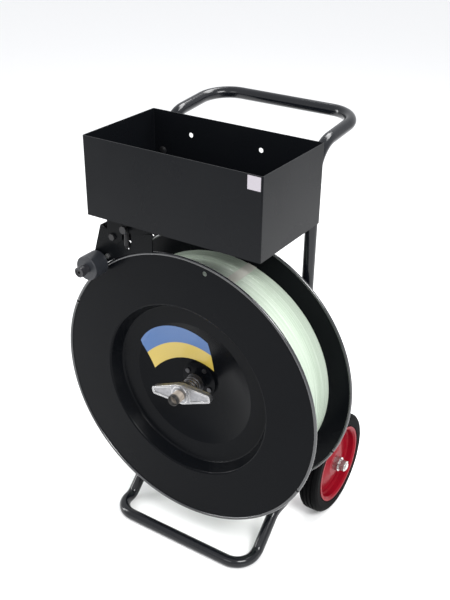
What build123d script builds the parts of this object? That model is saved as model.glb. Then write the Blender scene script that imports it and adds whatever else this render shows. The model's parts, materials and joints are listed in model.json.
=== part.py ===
from build123d import *
import os
from math import atan2, cos, degrees, hypot, radians, sin, sqrt

# A mobile dispenser cart for coils of plastic strapping: a tube frame on two wheels and a foot loop,
# a reel on a fixed spindle, a brake arm with a feed roller, and a sheet metal tray for the tools.
# Millimetres. Everything is laid out with x = 0 on the reel's axis, y = 0 at the front of the reel's
# front rim (y grows towards the handle) and z = 0 on the floor. write() then shifts it all along y,
# so that the origin is the middle of the footprint.

# Coil of strapping, 16 in core and 6 in wide
CORE_BORE = 406.4
CORE_WALL = 6.0
COIL_OD = 530.0
COIL_WIDTH = 152.0
TAPE_WIDTH = 22.0
TAPE_ANGLE = 75.0
FILM = 0.3

# Reel
FLANGE_OD = 636.0
REEL_OFF_FLOOR = 77.0
SHEET = 1.9
RIM_WIRE = 6.4
SIDE_PLAY = 0.6
CORE_PLAY = 0.4
STEP_DEPTH = 29.4
STEP_TAPER = 12.6
STEP_BEND = 5.0
BOWL_R = 146.0
BOWL_DROP = 4.0
BOWL_DEPTH = 30.0
HUB_PLATE_R = 45.0
HUB_PLATE = 5.0
HUB_BOSS_WALL = 6.3
HUB_BOSS = 16.0
HUB_RIVET_R = 32.0
HUB_RIVETS = 4
FLANGE_HOLE_D = 11.0
FLANGE_HOLE_INSET = 19.0
FLANGE_HOLE_ANGLE = 80.0

# Hub tube, spindle and the clamp in front of the flange
HUB_TUBE_WALL = 1.6
HUB_TUBE_OVERHANG = 13.5
HUB_TUBE_FRONT = -40.0
SPINDLE_D = 19.05
SPINDLE_FRONT = -12.0
RUNNING = 0.05
END_PLAY = 0.4
BUSH_LENGTH = 25.0
BUSH_WALL = 1.575
SPINDLE_SCREW = 20.0
CLAMP_SPRING_WIRE = 4.0
CLAMP_SPRING_GAP = 2.8
CLAMP_SPRING_LENGTH = 33.0
CLAMP_SPRING_TURNS = 3.5
CLAMP_WASHER = 2.0
CLAMP_WASHER_RIM = 3.0
THRUST_WASHER = 1.4
NUT_LENGTH = 20.0
NUT_BOSS_WALL = 7.3
NUT_SPAN = 152.0
NUT_WING = 11.0
NUT_ROOT_HALF = 23.0
NUT_TIP_HALF = 8.0
NUT_TURN = 11.5

# Tube frame
TUBE_OD = 25.4
TUBE_WALL = 2.0
FRAME_HALF = 178.0
UPRIGHT_GAP = 22.7
HANDLE_REACH = 196.1
HANDLE_RISE = 163.3
ARM_SLOPE = 18.0
HANDLE_BEND = 65.0
JOINT_Z = 250.0
LEG_Z = 78.5
LEG_BEND = 60.0
FOOT_FRONT_Y = -29.0
FOOT_FLAT_Y = 30.0
FOOT_RISE = 69.0
FOOT_BEND = 45.0
FOOT_SLOPE_BEND = 30.0
SLEEVE_LENGTH = 80.0
CROSS_BAR_HEIGHT = 50.8
CROSS_BAR_WALL = 2.5
LOWER_CROSS_Z = 190.0

# Wheels and axle
WHEEL_R = 122.5
WHEEL_BEHIND = 89.6
WHEEL_OUT = 46.5
TYRE_WIDTH = 46.0
TYRE_HEIGHT = 29.5
RIM_SHEET = 2.0
HUB_R = 17.0
HUB_LENGTH = 50.0
BEARING_OD = 28.0
BEARING_WIDTH = 8.0
AXLE_D = 15.9
AXLE_WASHER = 2.2
BRACKET = 6.0

# Tray
TRAY_WIDTH = 403.5
TRAY_FRONT_Y = -40.5
TRAY_HEIGHT = 164.0
TRAY_GAP = 56.7
TRAY_SHEET = 1.5
TRAY_HOLE_D = 10.5
TRAY_HOLE_X = (-105.0, 64.0)
TRAY_HOLE_DROP = 41.5
TRAY_BOLT_RISES = (24.0, 76.0)
STICKER = (27.0, 26.0)

# Label in the bowl: an arched band, in a frame turned about the hub
LABEL_TURN = 13.5
LABEL_MIDDLE = -33.0
LABEL_HALF_TOP = 86.0
LABEL_HALF_LOW = 76.0
LABEL_TOP = (97.0, 136.5)
LABEL_LOW = (23.0, 50.0)

# Brake arm and feed roller: angles about the reel's axis, and distances outside the rim
PLATE = 3.0
ARM_GAP = 0.4
PIVOT_ANGLE = 117.2
PIVOT_LIFT = 45.16
ROLLER_ANGLE = 128.892
ROLLER_LIFT = 10.9
SHOE_ANGLE = 123.9
SHOE_LIFT = 12.0
SHOE_DEPTH = 12.6
SHOE_LENGTH = 30.0
SHOE_GAP = 0.4
ARM_FRONT_Y = -4.6
ARM_DEPTH = 24.0
ARM_RIM_GAP = 0.6
ARM_REACH = 48.0
GUARD_RIM_GAP = 1.6
GUARD_EDGES = (47.0, 100.0)
BACK_EAR_REACH = 38.0
ROLLER_D = 53.0
ROLLER_LENGTH = 40.0
ROLLER_STANDOFF = 4.8
ROLLER_PLAY = 0.2
SLEEVE_OD = 12.0
COLLAR_D = 22.5
COLLAR_LENGTH = 23.4
SPRING_OFFSET = 36.0
SPRING_Y = -14.0
SPRING_ABOVE = 27.0
SPRING_BELOW = 19.0
SPRING_OD = 10.0
SPRING_WIRE = 1.6

# Fasteners: thread diameter, width across flats, head height, nut height
M6 = (6.0, 10.0, 4.0, 5.0)
M8 = (8.0, 13.0, 5.3, 6.5)
AXLE_NUT = (AXLE_D, 24.0, 12.0)
SPINDLE_NUT = (SPINDLE_D, 28.6, 16.0)
BOLT_PLAY = 0.1

# Derived places
FLANGE_R = FLANGE_OD / 2
REEL_Z = FLANGE_R + REEL_OFF_FLOOR
FLANGE_HOLE_R = FLANGE_R - FLANGE_HOLE_INSET
ANNULUS_Y = 3.0
REEL_DEPTH = 2 * (ANNULUS_Y + SHEET + SIDE_PLAY) + COIL_WIDTH
STEP_R = CORE_BORE / 2 - CORE_PLAY - SHEET
FLOOR_R = STEP_R - STEP_TAPER
FLOOR_Y = ANNULUS_Y + STEP_DEPTH
BOWL_Y = FLOOR_Y + BOWL_DROP
HUB_Y = BOWL_Y + BOWL_DEPTH
CORE_Y = (ANNULUS_Y + SHEET + SIDE_PLAY, ANNULUS_Y + SHEET + SIDE_PLAY + COIL_WIDTH)
TUBE_R = TUBE_OD / 2
HUB_TUBE_R = SPINDLE_D / 2 + BUSH_WALL + HUB_TUBE_WALL
HUB_BOSS_R = HUB_TUBE_R + HUB_BOSS_WALL
NUT_BOSS_R = HUB_TUBE_R + NUT_BOSS_WALL
CLAMP_SPRING_R = HUB_TUBE_R + CLAMP_SPRING_GAP + CLAMP_SPRING_WIRE / 2
CLAMP_WASHER_R = HUB_BOSS_R + CLAMP_WASHER_RIM
UPRIGHT_Y = REEL_DEPTH + UPRIGHT_GAP + TUBE_R
TRAY_Z = REEL_Z + FLANGE_R + TRAY_GAP
HANDLE_Y = UPRIGHT_Y + HANDLE_REACH
HANDLE_Z = TRAY_Z + HANDLE_RISE
ARM_Z = HANDLE_Z - ARM_SLOPE
WHEEL_Y = UPRIGHT_Y + WHEEL_BEHIND
WHEEL_X = FRAME_HALF + WHEEL_OUT
RIM_R = WHEEL_R - TYRE_HEIGHT
HUB_IN = WHEEL_X - HUB_LENGTH / 2
HUB_OUT = WHEEL_X + HUB_LENGTH / 2
AXLE_END = HUB_OUT + END_PLAY + AXLE_WASHER + AXLE_NUT[2] + 3
BAR_FRONT_Y = UPRIGHT_Y - TUBE_R
BAR_BACK_Y = UPRIGHT_Y + TUBE_R
HUB_TUBE_BACK = REEL_DEPTH + HUB_TUBE_OVERHANG
SHOULDER_Y = HUB_TUBE_BACK + END_PLAY
TRAY_BACK_Y = BAR_FRONT_Y
BOSS_FRONT_Y = HUB_Y - HUB_PLATE - HUB_BOSS
CLAMP_BACK_Y = BOSS_FRONT_Y - CLAMP_WASHER
CLAMP_FRONT_Y = CLAMP_BACK_Y - CLAMP_SPRING_LENGTH
THRUST_Y = CLAMP_FRONT_Y - CLAMP_WASHER - THRUST_WASHER - 0.3
NUT_FRONT_Y = THRUST_Y - 0.3 - NUT_LENGTH
ARM_BACK_Y = ARM_FRONT_Y + ARM_DEPTH


def outside_rim(angle, lift):
    """Place (x, height above the reel's axis) at an angle, a distance outside the rim."""
    reach = FLANGE_R + lift
    return (reach * cos(radians(angle)), reach * sin(radians(angle)))


PIVOT = outside_rim(PIVOT_ANGLE, PIVOT_LIFT)
ROLLER = outside_rim(ROLLER_ANGLE, ROLLER_LIFT)
SPRING_X = PIVOT[0] + SPRING_OFFSET
SPRING_TOP = PIVOT[1] + SPRING_ABOVE
SPRING_LOW = PIVOT[1] - SPRING_BELOW
HANGER_LEFT = PIVOT[0] - 14
HANGER_RIGHT = PIVOT[0] + 114
HANGER_TOP = TRAY_Z - REEL_Z
HANGER_BOLT_X = (PIVOT[0] + 8, PIVOT[0] + 90)
HANGER_FRONT_Y = ARM_FRONT_Y - ARM_GAP - PLATE
HANGER_BACK_Y = ARM_BACK_Y + ARM_GAP + PLATE
HANGER_BOLT_Y = (HANGER_FRONT_Y + HANGER_BACK_Y) / 2
ROLLER_Y = (ARM_FRONT_Y - ROLLER_STANDOFF - ROLLER_LENGTH, ARM_FRONT_Y - ROLLER_STANDOFF)
COLLAR_FRONT_Y = ROLLER_Y[0] - ROLLER_PLAY - COLLAR_LENGTH
FOREMOST_Y = min(COLLAR_FRONT_Y, FOOT_FRONT_Y - TUBE_R, HUB_TUBE_FRONT, TRAY_FRONT_Y)
REARMOST_Y = max(HANDLE_Y + TUBE_R, WHEEL_Y + WHEEL_R)
ORIGIN_Y = (FOREMOST_Y + REARMOST_Y) / 2


def write(node, *solids):
    """Shift the finished solids to the footprint's middle and write them as one node."""
    shape = solids[0] if len(solids) == 1 else Compound(children=list(solids))
    export_step(Pos(0, -ORIGIN_Y, 0) * shape, os.path.join("parts", node + ".step"))


def turned_y(points, z=REEL_Z):
    """Ring with the closed (radius, y) outline, turned about the y axis at height z."""
    face = make_face(Polyline(*points, close=True))
    return Pos(0, 0, z) * revolve(face, Axis.Y, 360)


def turned_x(points, x=0.0):
    """Ring with the closed (x, radius) outline, turned about the wheel axle."""
    face = make_face(Polyline(*points, close=True))
    return Pos(x, WHEEL_Y, WHEEL_R) * revolve(face, Axis.X, 360)


def rod_y(radius, y0, y1, x=0.0, z=REEL_Z, bore=0.0):
    """Cylinder along y from y0 to y1, hollow when a bore radius is given."""
    solid = Pos(x, (y0 + y1) / 2, z) * Rot(90, 0, 0) * Cylinder(radius, y1 - y0)
    if bore:
        solid -= Pos(x, (y0 + y1) / 2, z) * Rot(90, 0, 0) * Cylinder(bore, y1 - y0 + 1)
    return solid


def rod_x(radius, x0, x1, y=WHEEL_Y, z=WHEEL_R, bore=0.0):
    """Cylinder along x from x0 to x1, hollow when a bore radius is given."""
    solid = Pos((x0 + x1) / 2, y, z) * Rot(0, 90, 0) * Cylinder(radius, x1 - x0)
    if bore:
        solid -= Pos((x0 + x1) / 2, y, z) * Rot(0, 90, 0) * Cylinder(bore, x1 - x0 + 1)
    return solid


def block(x0, x1, y0, y1, z0, z1):
    """Box between two corners."""
    return Pos((x0 + x1) / 2, (y0 + y1) / 2, (z0 + z1) / 2) * Box(x1 - x0, y1 - y0, z1 - z0)


def hexagon_y(flats, y0, y1, x=0.0, z=REEL_Z, bore=0.0):
    """Hexagon along y, for a bolt head, or for a nut when a bore radius is given."""
    face = RegularPolygon(flats / 2, 6, major_radius=False)
    if bore:
        face -= Circle(bore)
    return Pos(x, y1, z) * Rot(90, 0, 0) * extrude(face, y1 - y0)


def hexagon_x(flats, x0, x1, y=WHEEL_Y, z=WHEEL_R, bore=0.0):
    """Hexagonal nut along x."""
    face = RegularPolygon(flats / 2, 6, major_radius=False) - Circle(bore)
    return Pos(x0, y, z) * Rot(0, 90, 0) * extrude(face, x1 - x0)


def plate_y(points, y0, y1, z=REEL_Z):
    """Flat plate from y0 to y1 with the (x, height above z) outline."""
    face = make_face(Polyline(*points, close=True))
    return Pos(0, y1, z) * Rot(90, 0, 0) * extrude(face, y1 - y0)


def bent_tube(corners, radii, od, wall=0.0):
    """Tube along straight runs joined by bends."""
    path = FilletPolyline(*corners, radius=radii)
    section = Circle(od / 2)
    if wall:
        section -= Circle(od / 2 - wall)
    return sweep(Plane(origin=path @ 0, z_dir=path % 0) * section, path=path)


# Frame: two bent tubes joined at the uprights

def handle_corners():
    """The handle loop and both uprights."""
    right = [
        (FRAME_HALF, UPRIGHT_Y, JOINT_Z),
        (FRAME_HALF, UPRIGHT_Y, ARM_Z),
        (FRAME_HALF, HANDLE_Y, HANDLE_Z),
    ]
    return right + [(-x, y, z) for x, y, z in reversed(right)]


def foot_corners():
    """The lower uprights, the legs under the reel and the foot loop on the floor."""
    right = [
        (FRAME_HALF, UPRIGHT_Y, JOINT_Z),
        (FRAME_HALF, UPRIGHT_Y, LEG_Z),
        (FRAME_HALF, FOOT_FLAT_Y + FOOT_RISE, LEG_Z),
        (FRAME_HALF, FOOT_FLAT_Y, TUBE_R),
        (FRAME_HALF, FOOT_FRONT_Y, TUBE_R),
    ]
    return right + [(-x, y, z) for x, y, z in reversed(right)]


FOOT_RADII = [LEG_BEND, FOOT_SLOPE_BEND, FOOT_SLOPE_BEND, FOOT_BEND]
FOOT_RADII = FOOT_RADII + FOOT_RADII[::-1]
TRAY_BOLT_SPOTS = [(s * FRAME_HALF, TRAY_Z + rise) for s in (-1, 1) for rise in TRAY_BOLT_RISES]


def handle_frame_tube():
    tube = bent_tube(handle_corners(), HANDLE_BEND, TUBE_OD, TUBE_WALL)
    for x, z in TRAY_BOLT_SPOTS:
        tube -= rod_y(M8[0] / 2 + BOLT_PLAY, BAR_FRONT_Y - 5, BAR_BACK_Y + 5, x, z)
    return tube


def tube_joint_sleeves():
    radius = TUBE_R - TUBE_WALL - BOLT_PLAY
    sleeve = Cylinder(radius, SLEEVE_LENGTH) - Cylinder(radius - 2, SLEEVE_LENGTH + 1)
    return [Pos(s * FRAME_HALF, UPRIGHT_Y, JOINT_Z) * sleeve for s in (-1, 1)]


def uprights_solid():
    """Both uprights as full rods, for coping the cross members."""
    rod = Pos(0, UPRIGHT_Y, (LEG_Z + LEG_BEND + ARM_Z) / 2) * Cylinder(TUBE_R, ARM_Z - LEG_Z - LEG_BEND)
    return Pos(FRAME_HALF, 0, 0) * rod + Pos(-FRAME_HALF, 0, 0) * rod


def spindle_cross_bar():
    reach = FRAME_HALF - TUBE_R / 3
    height = CROSS_BAR_HEIGHT / 2
    bar = block(-reach, reach, BAR_FRONT_Y, BAR_BACK_Y, REEL_Z - height, REEL_Z + height)
    inner = height - CROSS_BAR_WALL
    bar -= block(-reach - 1, reach + 1, BAR_FRONT_Y + CROSS_BAR_WALL, BAR_BACK_Y - CROSS_BAR_WALL,
                 REEL_Z - inner, REEL_Z + inner)
    bar -= rod_y(SPINDLE_D / 2 + BOLT_PLAY, BAR_FRONT_Y - 1, BAR_BACK_Y + 1)
    return bar - uprights_solid()


def lower_cross_tube():
    reach = FRAME_HALF - TUBE_R / 3
    tube = rod_x(TUBE_R, -reach, reach, UPRIGHT_Y, LOWER_CROSS_Z, TUBE_R - TUBE_WALL)
    return tube - uprights_solid()


def axle_bracket(side, foot_rod):
    """Plate welded into the corner behind the leg's bend, holding the wheel axle."""
    centre = (UPRIGHT_Y - LEG_BEND, LEG_Z + LEG_BEND)
    on_bend = [(centre[0] + LEG_BEND * cos(radians(a)), centre[1] - LEG_BEND * sin(radians(a)))
               for a in (0, 22, 45, 64)]
    outline = [(UPRIGHT_Y, WHEEL_R + 110)] + on_bend
    outline += [(WHEEL_Y + 4, WHEEL_R - 20), (WHEEL_Y + 20, WHEEL_R - 6), (WHEEL_Y + 20, WHEEL_R + 8),
                (WHEEL_Y + 8, WHEEL_R + 20), (UPRIGHT_Y + TUBE_R + 10, WHEEL_R + 110)]
    face = Plane.YZ * make_face(Polyline(*outline, close=True))
    plate = Pos(side * FRAME_HALF - BRACKET / 2, 0, 0) * extrude(face, BRACKET, dir=(1, 0, 0))
    plate -= rod_x(AXLE_D / 2 + BOLT_PLAY, side * FRAME_HALF - 10, side * FRAME_HALF + 10)
    return plate - foot_rod - uprights_solid()


# Wheels

def tyre(side):
    """Solid rubber tyre with three grooves round its tread."""
    half = TYRE_WIDTH / 2
    seat = RIM_R - 7
    outline = [(-half + 3, seat), (half - 3, seat), (half - 3, RIM_R + 0.2), (half, RIM_R + 4),
               (half, WHEEL_R - 12), (half - 2.5, WHEEL_R - 4.5), (half - 7, WHEEL_R - 0.8)]
    for groove in (10, 0, -10):
        outline += [(groove + 2, WHEEL_R), (groove + 1, WHEEL_R - 2.5), (groove - 1, WHEEL_R - 2.5),
                    (groove - 2, WHEEL_R)]
    outline += [(-half + 7, WHEEL_R - 0.8), (-half + 2.5, WHEEL_R - 4.5), (-half, WHEEL_R - 12),
                (-half, RIM_R + 4), (-half + 3, RIM_R + 0.2)]
    return turned_x(outline, side * WHEEL_X)


def rim_half(side, face):
    """Pressed half of the wheel disc: hub flange, dished web, barrel and rolled lip."""
    half = TYRE_WIDTH / 2
    seat = RIM_R - 7
    t = RIM_SHEET
    web = seat - 16
    outer = [(half - 10, HUB_R), (half - 10, 30), (2.0 + t, web - 8), (t, web), (t, seat - t - 3),
             (t + 3, seat - t), (half - 3 - t, seat - t), (half - 1.0, seat + 2), (half - 0.5, RIM_R)]
    inner = [(half - 3, RIM_R), (half - 3, seat), (0.05, seat), (0.05, web - 0.6), (2.0, web - 9),
             (half - 10 - t, 29.2), (half - 10 - t, HUB_R)]
    points = [(face * x, r) for x, r in outer + inner]
    return turned_x(points, side * WHEEL_X)


def wheel_hub(side):
    return rod_x(HUB_R, side * WHEEL_X - HUB_LENGTH / 2, side * WHEEL_X + HUB_LENGTH / 2,
                 bore=BEARING_OD / 2)


def wheel_bearings(side):
    bearings = []
    for end in (-1, 1):
        middle = side * WHEEL_X + end * (HUB_LENGTH - BEARING_WIDTH) / 2
        ring = rod_x(BEARING_OD / 2, middle - BEARING_WIDTH / 2, middle + BEARING_WIDTH / 2,
                     bore=AXLE_D / 2 + RUNNING)
        bearings.append(ring)
    return bearings


def axle_washers():
    washers = []
    for side in (-1, 1):
        for x0, x1 in ((FRAME_HALF + BRACKET / 2, HUB_IN - END_PLAY),
                       (HUB_OUT + END_PLAY, HUB_OUT + END_PLAY + AXLE_WASHER)):
            ends = sorted((side * x0, side * x1))
            washers.append(rod_x(13.5, ends[0], ends[1], bore=AXLE_D / 2 + BOLT_PLAY / 2))
    return washers


def axle_nuts():
    nuts = []
    for side in (-1, 1):
        x0 = HUB_OUT + END_PLAY + AXLE_WASHER
        ends = sorted((side * x0, side * (x0 + AXLE_NUT[2])))
        nuts.append(hexagon_x(AXLE_NUT[1], ends[0], ends[1], bore=AXLE_D / 2))
    return nuts


# Reel

BOWL_SPHERE = (BOWL_R ** 2 + BOWL_DEPTH ** 2) / (2 * BOWL_DEPTH)
SEAT_Y = HUB_Y - BOWL_SPHERE + sqrt(BOWL_SPHERE ** 2 - HUB_PLATE_R ** 2)


def on_bowl(radius, lift):
    """Point (radius, y) of the spherical bowl, or of a skin lifted off its front face."""
    sphere = BOWL_SPHERE - lift
    share = sphere / BOWL_SPHERE
    return (radius * share, HUB_Y - BOWL_SPHERE + sphere * sqrt(1 - (radius / BOWL_SPHERE) ** 2))


def offset_corner(before, corner, after, distance):
    """Corner of a bent line moved sideways by a distance, with a mitred joint."""
    normals = []
    for a, b in ((before, corner), (corner, after)):
        length = hypot(b[0] - a[0], b[1] - a[1])
        normals.append(((b[1] - a[1]) / length, (a[0] - b[0]) / length))
    nx, ny = (normals[0][0] + normals[1][0]) / 2, (normals[0][1] + normals[1][1]) / 2
    share = distance / (nx * nx + ny * ny)
    return (corner[0] + nx * share, corner[1] + ny * share)


def flange_line(lift=0.0):
    """Front face of the flange sheet from rim to bore, or the same line lifted off towards the front."""
    rim = (FLANGE_R - RIM_WIRE / 2, ANNULUS_Y)
    step, floor, edge = (STEP_R, ANNULUS_Y), (FLOOR_R, FLOOR_Y), (BOWL_R, BOWL_Y)
    near_step = offset_corner(rim, step, floor, -lift)
    near_floor = offset_corner(step, floor, edge, -lift)
    line = FilletPolyline((rim[0], rim[1] - lift), near_step, near_floor, on_bowl(BOWL_R, lift),
                          radius=STEP_BEND)
    line += ThreePointArc(on_bowl(BOWL_R, lift), on_bowl((BOWL_R + HUB_PLATE_R) / 2, lift),
                          on_bowl(HUB_PLATE_R, lift))
    seat = on_bowl(HUB_PLATE_R, lift)
    return line + Line(seat, (HUB_TUBE_R + RUNNING, seat[1]))


def sheet_section(low, high):
    """Closed section between two lifted lines."""
    near_line, far_line = flange_line(high), flange_line(low)
    ends = [Line(near_line @ k, far_line @ k) for k in (0, 1)]
    return make_face(near_line + far_line + ends[0] + ends[1])


def flange_sheet():
    """Spun steel flange with its curled rim, as the front one stands."""
    sheet = revolve(sheet_section(-SHEET, 0.0), Axis.Y, 360)
    rim = Pos(FLANGE_R - RIM_WIRE / 2, RIM_WIRE / 2, 0) * Circle(RIM_WIRE / 2)
    return Pos(0, 0, REEL_Z) * (sheet + revolve(rim, Axis.Y, 360))


def front_flange():
    angle = radians(FLANGE_HOLE_ANGLE)
    x, z = FLANGE_HOLE_R * cos(angle), REEL_Z + FLANGE_HOLE_R * sin(angle)
    flange = flange_sheet() - rod_y(FLANGE_HOLE_D / 2, -1, ANNULUS_Y + 5, x, z)
    for x, z in rivet_spots():
        flange -= rod_y(M6[0] / 2, HUB_Y - 10, HUB_Y + 10, x, z)
    return flange


def back_flange():
    """The same pressing turned round, with a bore that fits the hub tube."""
    flange = Pos(0, REEL_DEPTH, 0) * mirror(flange_sheet(), Plane.XZ)
    return flange - rod_y(HUB_TUBE_R, 0, REEL_DEPTH)


def rivet_spots():
    spots = []
    for k in range(HUB_RIVETS):
        angle = radians(NUT_TURN + 50 + k * 360 / HUB_RIVETS)
        spots.append((HUB_RIVET_R * cos(angle), REEL_Z + HUB_RIVET_R * sin(angle)))
    return spots


def front_flange_hub():
    bore = HUB_TUBE_R + RUNNING
    y = SEAT_Y
    hub = turned_y([(bore, BOSS_FRONT_Y), (HUB_BOSS_R - 1, BOSS_FRONT_Y), (HUB_BOSS_R, BOSS_FRONT_Y + 1),
                    (HUB_BOSS_R, y - HUB_PLATE), (HUB_PLATE_R - 3, y - HUB_PLATE), (HUB_PLATE_R - 3, y),
                    (bore, y)])
    for x, z in rivet_spots():
        hub -= rod_y(M6[0] / 2, y - 10, y + 1, x, z)
    return hub


def hub_rivets():
    y = SEAT_Y
    rivets = []
    for x, z in rivet_spots():
        shank = rod_y(M6[0] / 2, y - HUB_PLATE - 0.5, y + SHEET + 0.5, x, z)
        front = rod_y(M6[0] * 0.9, y - HUB_PLATE - 3, y - HUB_PLATE, x, z)
        back = rod_y(M6[0] * 0.9, y + SHEET, y + SHEET + 2, x, z)
        rivets.append(shank + front + back)
    return rivets


def hub_spacer():
    """Tube on the hub tube that keeps the two flanges apart when the nut is tight."""
    front = SEAT_Y + SHEET + 0.3
    return rod_y(HUB_BOSS_R, front, REEL_DEPTH - SEAT_Y - SHEET, bore=HUB_TUBE_R)


def clamp_spring():
    """Compression spring between the hub's boss and the nut."""
    wire = CLAMP_SPRING_WIRE / 2
    height = CLAMP_SPRING_LENGTH - 2 * wire - 0.1
    path = Helix(pitch=height / CLAMP_SPRING_TURNS, height=height, radius=CLAMP_SPRING_R)
    coil = sweep(Plane(origin=path @ 0, z_dir=path % 0) * Circle(wire), path=path, is_frenet=True)
    return Pos(0, CLAMP_FRONT_Y + wire + 0.05, REEL_Z) * Rot(-90, 0, 0) * coil


def wing_nut():
    """Cast nut: a round boss and two tapered wings with a pocket in each."""
    middle = NUT_FRONT_Y + 3 + NUT_WING / 2
    half = NUT_SPAN / 2
    wings = []
    for side in (-1, 1):
        outline = Polyline((0, -NUT_ROOT_HALF), (side * half, -NUT_TIP_HALF), (side * half, NUT_TIP_HALF),
                           (side * 8, NUT_ROOT_HALF), (0, NUT_ROOT_HALF), close=True)
        wing = extrude(make_face(outline), NUT_WING)
        inset = 4.0
        start = NUT_BOSS_R + 3
        slope = (NUT_ROOT_HALF - NUT_TIP_HALF) / half
        wide = NUT_ROOT_HALF - slope * start - inset
        tip = NUT_TIP_HALF - inset * 0.8
        pocket = Polyline((side * start, -wide), (side * (half - inset), -tip), (side * (half - inset), tip),
                          (side * start, wide), close=True)
        wing -= Pos(0, 0, NUT_WING - 2.2) * extrude(make_face(pocket), 3)
        wings.append(wing)
    body = wings[0] + wings[1]
    tips = body.edges().filter_by(Axis.Z).filter_by(lambda e: abs(e.center().X) > half - 0.1)
    body = fillet(tips, NUT_TIP_HALF * 0.7)
    body = Pos(0, middle + NUT_WING / 2, REEL_Z) * Rot(0, -NUT_TURN, 0) * Rot(90, 0, 0) * body
    body += rod_y(NUT_BOSS_R, NUT_FRONT_Y, NUT_FRONT_Y + NUT_LENGTH)
    return body - rod_y(HUB_TUBE_R + RUNNING, NUT_FRONT_Y - 1, NUT_FRONT_Y + NUT_LENGTH + 1)


def flange_label():
    """Printed decal in the bowl: an arched band, cut out of a thin skin on the sheet."""
    skin = Pos(0, 0, REEL_Z) * revolve(sheet_section(0.02, FILM), Axis.Y, 360)
    left, right = LABEL_MIDDLE - LABEL_HALF_TOP, LABEL_MIDDLE + LABEL_HALF_TOP
    low_left, low_right = LABEL_MIDDLE - LABEL_HALF_LOW, LABEL_MIDDLE + LABEL_HALF_LOW
    edge = ThreePointArc((left, LABEL_TOP[0]), (LABEL_MIDDLE, LABEL_TOP[1]), (right, LABEL_TOP[0]))
    edge += Line((right, LABEL_TOP[0]), (low_right, LABEL_LOW[0]))
    edge += ThreePointArc((low_right, LABEL_LOW[0]), (LABEL_MIDDLE, LABEL_LOW[1]), (low_left, LABEL_LOW[0]))
    edge += Line((low_left, LABEL_LOW[0]), (left, LABEL_TOP[0]))
    cutter = Pos(0, HUB_Y + 5, REEL_Z) * Rot(0, -LABEL_TURN, 0) * Rot(90, 0, 0) * extrude(make_face(edge), 60)
    return skin & cutter


def coil_tape():
    """Paper tape that holds the end of the strap, on the outside of the coil."""
    half = degrees(TAPE_WIDTH / COIL_OD)
    y0, y1 = CORE_Y[0], CORE_Y[1]
    face = make_face(Polyline((COIL_OD / 2, y0), (COIL_OD / 2 + FILM, y0), (COIL_OD / 2 + FILM, y1),
                              (COIL_OD / 2, y1), close=True))
    band = revolve(face, Axis.Y, 2 * half)
    return Pos(0, 0, REEL_Z) * Rot(0, half - TAPE_ANGLE, 0) * Rot(0, -2 * half, 0) * band


# Spindle


def reel_spindle():
    rod = rod_y(SPINDLE_D / 2, SPINDLE_FRONT, BAR_BACK_Y + SPINDLE_NUT[2] + 3)
    rod += rod_y(HUB_BOSS_R - 3, SHOULDER_Y, BAR_FRONT_Y)
    return rod - rod_y(M8[0] / 2, SPINDLE_FRONT - 1, SPINDLE_FRONT + SPINDLE_SCREW + 2)


def spindle_end_screw():
    """Screw and washer inside the hub tube that keep the reel on the spindle."""
    washer = rod_y(HUB_TUBE_R - HUB_TUBE_WALL - 0.5, SPINDLE_FRONT - 2, SPINDLE_FRONT)
    head = hexagon_y(M8[1], SPINDLE_FRONT - 2 - M8[2], SPINDLE_FRONT - 2)
    return washer + head + rod_y(M8[0] / 2, SPINDLE_FRONT - 1, SPINDLE_FRONT + SPINDLE_SCREW)


# Tray

def tool_tray():
    half = TRAY_WIDTH / 2
    shell = block(-half, half, TRAY_FRONT_Y, TRAY_BACK_Y, TRAY_Z, TRAY_Z + TRAY_HEIGHT)
    shell = fillet(shell.edges().filter_by(Axis.Z), 2.5)
    room = block(-half + TRAY_SHEET, half - TRAY_SHEET, TRAY_FRONT_Y + TRAY_SHEET, TRAY_BACK_Y - TRAY_SHEET,
                 TRAY_Z + TRAY_SHEET, TRAY_Z + TRAY_HEIGHT + 1)
    shell -= fillet(room.edges().filter_by(Axis.Z), 2.5 - TRAY_SHEET)
    for x in TRAY_HOLE_X:
        hole_z = TRAY_Z + TRAY_HEIGHT - TRAY_HOLE_DROP
        shell -= rod_y(TRAY_HOLE_D / 2, TRAY_BACK_Y - 5, TRAY_BACK_Y + 5, x, hole_z)
    for x, z in TRAY_BOLT_SPOTS:
        shell -= rod_y(M8[0] / 2 + BOLT_PLAY, TRAY_BACK_Y - 5, TRAY_BACK_Y + 5, x, z)
    for x in HANGER_BOLT_X:
        shell -= Pos(x, HANGER_BOLT_Y, TRAY_Z) * Cylinder(M6[0] / 2 + BOLT_PLAY, 10)
    return shell


def tray_bolts():
    """Carriage bolts through the tray's back wall and the uprights."""
    bolts = []
    for x, z in TRAY_BOLT_SPOTS:
        inside = TRAY_BACK_Y - TRAY_SHEET
        head = turned_y([(0, inside - 3.5), (5, inside - 3), (9, inside - 1), (9, inside), (0, inside)], 0)
        shank = rod_y(M8[0] / 2, inside - 0.5, BAR_BACK_Y + 10, x, z)
        bolts.append(Pos(x, 0, z) * head + shank)
    return bolts


def tray_nuts():
    return [hexagon_y(M8[1], BAR_BACK_Y, BAR_BACK_Y + M8[3], x, z, M8[0] / 2) for x, z in TRAY_BOLT_SPOTS]


def tray_sticker():
    right, top = TRAY_WIDTH / 2 - 4, TRAY_Z + TRAY_HEIGHT - 2
    return block(right - STICKER[0], right, TRAY_FRONT_Y - 0.2, TRAY_FRONT_Y, top - STICKER[1], top)


# Brake hanger, arm, shoe and feed roller

def rim_arc(start, end, gap):
    """Corners along the rim, a gap outside it, from the angle of one place to that of another."""
    first, last = (atan2(place[1], place[0]) for place in (start, end))
    reach = FLANGE_R + gap
    angles = [first + (last - first) * k / 6 for k in range(7)]
    return [(reach * cos(angle), reach * sin(angle)) for angle in angles]


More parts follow.
